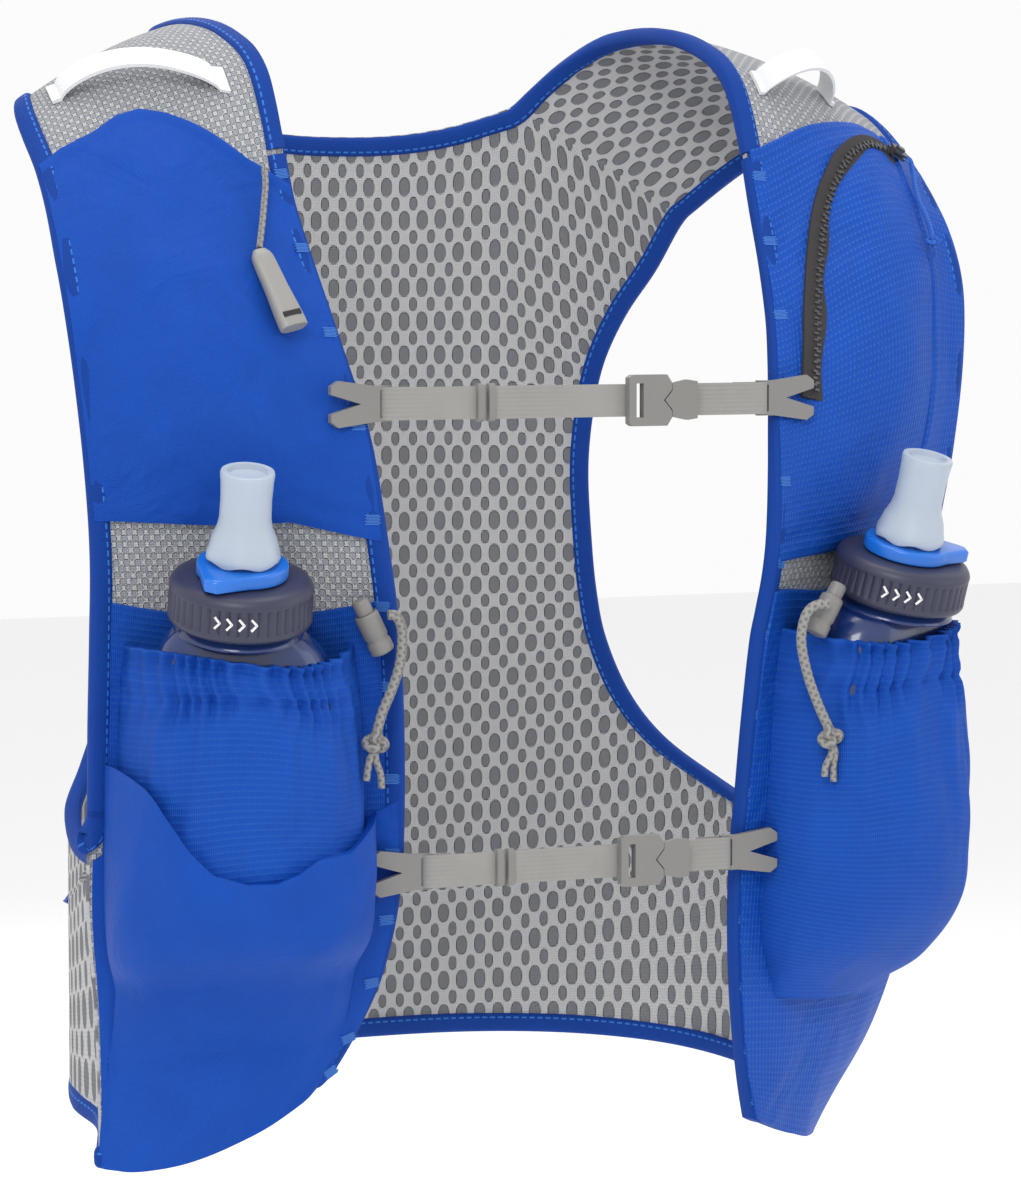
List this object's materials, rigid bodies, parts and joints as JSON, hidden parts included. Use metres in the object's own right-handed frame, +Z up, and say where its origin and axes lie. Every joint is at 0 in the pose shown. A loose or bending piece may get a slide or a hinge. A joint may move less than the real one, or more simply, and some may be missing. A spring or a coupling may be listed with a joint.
{
  "type": "running hydration vest",
  "caption": "Running hydration vest in worn form with mesh panels, soft flasks in front pockets, sternum straps, zip pocket, back pouch and whistle.",
  "frame": {"origin": "midway between the shoulders, level with the top of the neck edge, where the shoulders carry the vest", "axes": "+Z up along the wearer's height, +X to the wearer's left, -Y the way the wearer faces"},
  "size_m": [0.3812, 0.2588, 0.4398],
  "materials": {
    "spacer_mesh": "matte open knit",
    "edge_tape": "matte woven",
    "stretch_cloth": "matte stretch knit",
    "ripstop_cloth": "fine checked weave",
    "zip_tape": "matte woven",
    "reflective_band": "satin",
    "grey_webbing": "matte woven",
    "grey_cord": "braided",
    "blue_cord": "braided",
    "hardware": "satin moulded",
    "slider": "satin",
    "flask_film": "clear tinted film",
    "cap": "satin moulded",
    "lever": "satin moulded",
    "valve": "milky silicone",
    "whistle_body": "satin moulded"
  },
  "bodies": {
    "vest": {"armhole_binding_left": "edge_tape", "armhole_binding_right": "edge_tape", "back_mesh": "spacer_mesh", "back_pouch": "stretch_cloth", "chest_pocket_right": "stretch_cloth", "chest_zipper": "zip_tape", "cord_front_left": "grey_cord", "cord_front_right": "grey_cord", "cord_knot_left": "grey_cord", "cord_knot_right": "grey_cord", "cord_lock_left": "hardware", "cord_lock_right": "hardware", "edge_rail_left": "edge_tape", "edge_rail_right": "edge_tape", "flask_body_left": "flask_film", "flask_body_right": "flask_film", "flask_cap_left": "cap", "flask_cap_right": "cap", "flask_pocket_left": "stretch_cloth", "flask_pocket_right": "stretch_cloth", "hang_loop": "grey_webbing", "hem_binding": "edge_tape", "lower_buckle_plug": "hardware", "lower_buckle_socket": "hardware", "lower_clip_left": "hardware", "lower_clip_right": "hardware", "lower_pocket_left": "ripstop_cloth", "lower_pocket_right": "stretch_cloth", "lower_webbing_left": "grey_webbing", "lower_webbing_right": "grey_webbing", "neck_binding": "edge_tape", "panel_mesh_left": "spacer_mesh", "panel_mesh_right": "spacer_mesh", "pull_knot": "blue_cord", "shoulder_loop_left": "reflective_band", "shoulder_loop_right": "reflective_band", "upper_buckle_plug": "hardware", "upper_buckle_socket": "hardware", "upper_clip_left": "hardware", "upper_clip_right": "hardware", "upper_webbing_left": "grey_webbing", "upper_webbing_right": "grey_webbing", "whistle": "whistle_body", "whistle_cord": "grey_cord", "zip_panel_left": "ripstop_cloth", "zipper_pull": "blue_cord", "zipper_slider": "slider"},
    "valve_right": {"flask_lever_right": "lever", "bite_valve_right": "valve"},
    "valve_left": {"flask_lever_left": "lever", "bite_valve_left": "valve"},
    "button_right": {"cord_button_right": "hardware"},
    "button_left": {"cord_button_left": "hardware"}
  },
  "joints": [
    {"name": "valve_turn_right", "type": "hinge", "parent": "vest", "child": "valve_right", "pos_m": [-0.1393, -0.12352, -0.18022], "axis": [-0.0696, -0.2917, 0.954], "range_deg": [-90, 0]},
    {"name": "button_press_right", "type": "slide", "parent": "vest", "child": "button_right", "axis": [0.4472, 0, -0.8944], "range_m": [0, 0.0035], "stiffness_N_per_m": 200},
    {"name": "valve_turn_left", "type": "hinge", "parent": "vest", "child": "valve_left", "pos_m": [0.13756, -0.12423, -0.18033], "axis": [0.0696, -0.2917, 0.954], "range_deg": [0, 90]},
    {"name": "button_press_left", "type": "slide", "parent": "vest", "child": "button_left", "axis": [-0.5059, 0, -0.8626], "range_m": [0, 0.0035], "stiffness_N_per_m": 200}
  ]
}
